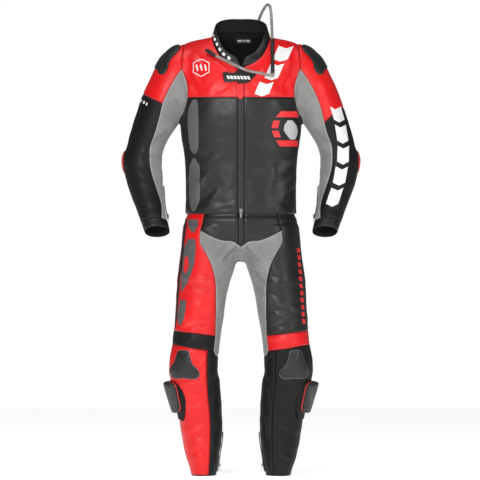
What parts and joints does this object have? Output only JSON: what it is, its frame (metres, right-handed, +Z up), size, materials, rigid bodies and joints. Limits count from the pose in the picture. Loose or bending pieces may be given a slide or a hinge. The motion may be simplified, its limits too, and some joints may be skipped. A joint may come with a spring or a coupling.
{
  "type": "motorcycle suit",
  "caption": "Hollow two-piece motorcycle racing suit in red and black leather with grey stretch panels, armour cups, knee sliders and a drink hose.",
  "frame": {"origin": "centre of the neck base, where the wearer's shoulders and neck hold the suit", "axes": "+Z up along the wearer, -Y the wearer's front, +X the wearer's left"},
  "size_m": [0.7406, 0.2786, 1.4641],
  "materials": {
    "black_leather": "smooth semi-gloss",
    "black_plastic": "satin",
    "black_rubber": "matt",
    "bright_metal": "bright",
    "clear_tube": "clear, slightly cloudy",
    "grey_stretch": "fine ribbed stretch cloth",
    "loop_fabric": "looped pile",
    "red_leather": "smooth semi-gloss",
    "red_plastic": "gloss",
    "zip_tape": "woven tape with moulded teeth"
  },
  "bodies": {
    "suit": {"ankle_zip_l": "zip_tape", "ankle_zip_r": "zip_tape", "back_lower": "black_leather", "back_yoke": "red_leather", "bite_valve": "black_rubber", "calf_inner_l": "black_leather", "calf_inner_r": "black_leather", "chest_tab": "black_leather", "collar": "black_leather", "cuff_l": "black_leather", "cuff_r": "black_leather", "cuff_zip_l": "zip_tape", "cuff_zip_r": "zip_tape", "elbow_cup_l": "red_plastic", "elbow_cup_r": "red_plastic", "fly_zip": "zip_tape", "front_lower_l": "black_leather", "front_lower_r": "black_leather", "front_waist_l": "black_leather", "front_waist_r": "black_leather", "front_yoke_l": "red_leather", "front_yoke_r": "red_leather", "hose": "clear_tube", "hose_elbow": "clear_tube", "hose_sleeve": "black_rubber", "hump": "black_leather", "inner_thigh_l": "grey_stretch", "inner_thigh_r": "grey_stretch", "knee_band_l": "red_leather", "knee_band_r": "black_leather", "knee_cup_l": "black_plastic", "knee_cup_r": "black_plastic", "main_zip": "zip_tape", "mouth_hose": "clear_tube", "outer_thigh_l": "black_leather", "outer_thigh_r": "red_leather", "seat": "black_leather", "shin_l": "black_leather", "shin_r": "red_leather", "shoulder_cup_l": "black_plastic", "shoulder_cup_r": "black_plastic", "sleeve_inner_l": "grey_stretch", "sleeve_inner_r": "grey_stretch", "sleeve_lower_l": "black_leather", "sleeve_lower_r": "black_leather", "sleeve_upper_l": "red_leather", "sleeve_upper_r": "red_leather", "slider_base_l": "red_plastic", "slider_base_r": "red_plastic", "slider_panel_l": "loop_fabric", "slider_panel_r": "loop_fabric", "slider_puck_l": "black_plastic", "slider_puck_r": "black_plastic", "zip_cover": "red_leather"},
    "ankle_pull_l": {"ankle_pull_l": "bright_metal"},
    "ankle_pull_r": {"ankle_pull_r": "bright_metal"},
    "cuff_pull_l": {"cuff_pull_l": "bright_metal"},
    "cuff_pull_r": {"cuff_pull_r": "bright_metal"},
    "main_pull": {"main_pull": "bright_metal"}
  },
  "joints": [
    {"name": "ankle_pull_l_hinge", "type": "hinge", "parent": "suit", "child": "ankle_pull_l", "pos_m": [0.06466, 0.0017, -1.27797], "axis": [-0.0414, 0.9959, -0.0809], "range_deg": [0, 160]},
    {"name": "ankle_pull_r_hinge", "type": "hinge", "parent": "suit", "child": "ankle_pull_r", "pos_m": [-0.06466, 0.0017, -1.27797], "axis": [-0.0414, -0.9959, 0.0809], "range_deg": [0, 160]},
    {"name": "cuff_pull_l_hinge", "type": "hinge", "parent": "suit", "child": "cuff_pull_l", "pos_m": [0.22392, -0.05884, -0.50733], "axis": [0.0676, 0.8983, -0.4342], "range_deg": [0, 160]},
    {"name": "cuff_pull_r_hinge", "type": "hinge", "parent": "suit", "child": "cuff_pull_r", "pos_m": [-0.22392, -0.05884, -0.50733], "axis": [0.0676, -0.8983, 0.4342], "range_deg": [0, 160]},
    {"name": "main_pull_hinge", "type": "hinge", "parent": "suit", "child": "main_pull", "pos_m": [0, -0.1133, -0.4929], "axis": [-1, 0, 0], "range_deg": [0, 165]}
  ]
}
